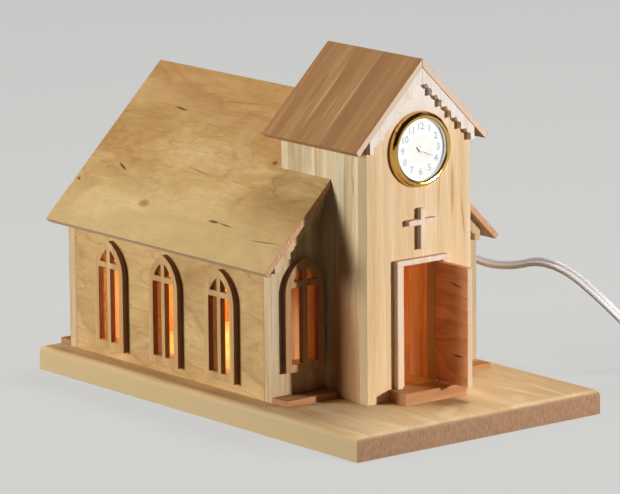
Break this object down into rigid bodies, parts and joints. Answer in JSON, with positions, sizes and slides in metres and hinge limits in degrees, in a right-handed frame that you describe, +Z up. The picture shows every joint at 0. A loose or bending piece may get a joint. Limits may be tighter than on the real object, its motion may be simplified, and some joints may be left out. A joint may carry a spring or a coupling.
{
  "type": "wooden church clock with night light",
  "caption": "Small wooden church with a gabled tower, round clock in its front, hinged door, pointed windows and a corded night light.",
  "frame": {"origin": "middle of the base board's underside", "axes": "+Z up, +Y from the clock face to the back wall, +X to the right when the clock face is seen from the front"},
  "size_m": [0.3072, 0.3591, 0.1772],
  "materials": {
    "base_wood": "satin clear-coated light cherry board",
    "nave_wood": "satin clear-coated light cherry plywood",
    "tower_wood": "satin clear-coated pale maple plywood",
    "nave_roof_wood": "satin clear-coated knotty board",
    "tower_roof_wood": "satin clear-coated browner board",
    "trim_wood": "satin clear-coated thin board",
    "door_wood": "satin clear-coated figured board",
    "brass": "polished",
    "lens_glass": "clear, polished",
    "white_enamel": "semi-gloss white with pale printed numerals",
    "clear_plastic": "glossy pale ring",
    "black_plastic": "matte black",
    "hand_metal": "satin grey",
    "steel": "plain",
    "white_plastic": "white moulded",
    "bulb_glass": "clear",
    "white_vinyl": "soft white vinyl"
  },
  "bodies": {
    "building": {"base_board": "base_wood", "foundation_front": "base_wood", "foundation_back": "base_wood", "door_step": "base_wood", "nave_back_wall": "nave_wood", "nave_side_wall_left": "nave_wood", "nave_side_wall_right": "nave_wood", "nave_front_wall_left": "nave_wood", "nave_front_wall_right": "nave_wood", "tower_front_wall": "tower_wood", "tower_back_wall": "tower_wood", "tower_side_wall_left": "tower_wood", "tower_side_wall_right": "tower_wood", "nave_roof_left": "nave_roof_wood", "nave_roof_right": "nave_roof_wood", "tower_roof_left": "tower_roof_wood", "tower_roof_right": "tower_roof_wood", "cross": "trim_wood", "door_lintel": "trim_wood", "door_jambs": "trim_wood", "nave_trim_left": "trim_wood", "nave_trim_right": "trim_wood", "tower_trim_left": "trim_wood", "tower_trim_right": "trim_wood", "front_window_left": "trim_wood", "front_window_right": "trim_wood", "side_window_left_1": "trim_wood", "side_window_left_2": "trim_wood", "side_window_left_3": "trim_wood", "side_window_right_1": "trim_wood", "side_window_right_2": "trim_wood", "side_window_right_3": "trim_wood"},
    "door": {"door": "door_wood", "door_pivot_pins": "steel"},
    "clock_insert": {"clock_bezel": "brass", "clock_lens": "lens_glass", "clock_chapter_ring": "clear_plastic", "clock_dial": "white_enamel", "clock_case": "black_plastic", "clock_grip_ring": "black_plastic", "movement_plate": "brass", "movement_bridge": "brass", "quartz_circuit": "black_plastic", "button_cell": "steel"},
    "minute_train": {"minute_hand": "hand_metal", "minute_arbor": "steel", "setting_knob": "black_plastic"},
    "hour_train": {"hour_hand": "hand_metal", "hour_wheel": "brass"},
    "idler": {"idler_wheel": "brass"},
    "clock_cover": {"clock_back_cover": "black_plastic"},
    "lamp_fitting": {"lamp_socket": "white_plastic", "socket_clips": "steel", "strain_relief": "white_vinyl", "cord_free": "white_vinyl", "cord_coil": "white_vinyl", "plug": "white_vinyl", "plug_blades": "steel"},
    "bulb": {"bulb_envelope": "bulb_glass", "bulb_cap": "brass"}
  },
  "joints": [
    {"name": "door_hinge", "type": "hinge", "parent": "building", "child": "door", "pos_m": [0.0108, -0.08405, 0.0482], "axis": [0, 0, 1], "range_deg": [-90, 0]},
    {"name": "clock_pull_out", "type": "slide", "parent": "building", "child": "clock_insert", "axis": [0, -1, 0], "range_m": [0, 0.03]},
    {"name": "minute_spin", "type": "hinge", "parent": "clock_insert", "child": "minute_train", "pos_m": [0, -0.0823, 0.1332], "axis": [0, 1, 0], "continuous": true},
    {"name": "hour_spin", "type": "hinge", "parent": "clock_insert", "child": "hour_train", "pos_m": [0, -0.0823, 0.1332], "axis": [0, 1, 0], "continuous": true},
    {"name": "idler_spin", "type": "hinge", "parent": "clock_insert", "child": "idler", "pos_m": [-0.0051, -0.0823, 0.1332], "axis": [0, 1, 0], "continuous": true},
    {"name": "cover_lift_off", "type": "slide", "parent": "clock_insert", "child": "clock_cover", "axis": [0, 1, 0], "range_m": [0, 0.01]},
    {"name": "lamp_pull_out", "type": "slide", "parent": "building", "child": "lamp_fitting", "axis": [0, 1, 0], "range_m": [0, 0.065]},
    {"name": "bulb_unscrew", "type": "slide", "parent": "lamp_fitting", "child": "bulb", "axis": [0, -1, 0], "range_m": [0, 0.014]}
  ],
  "couplings": [
    {"joint": "hour_spin", "follows": "minute_spin", "ratio": 0.083333},
    {"joint": "idler_spin", "follows": "minute_spin", "ratio": -0.33333}
  ]
}
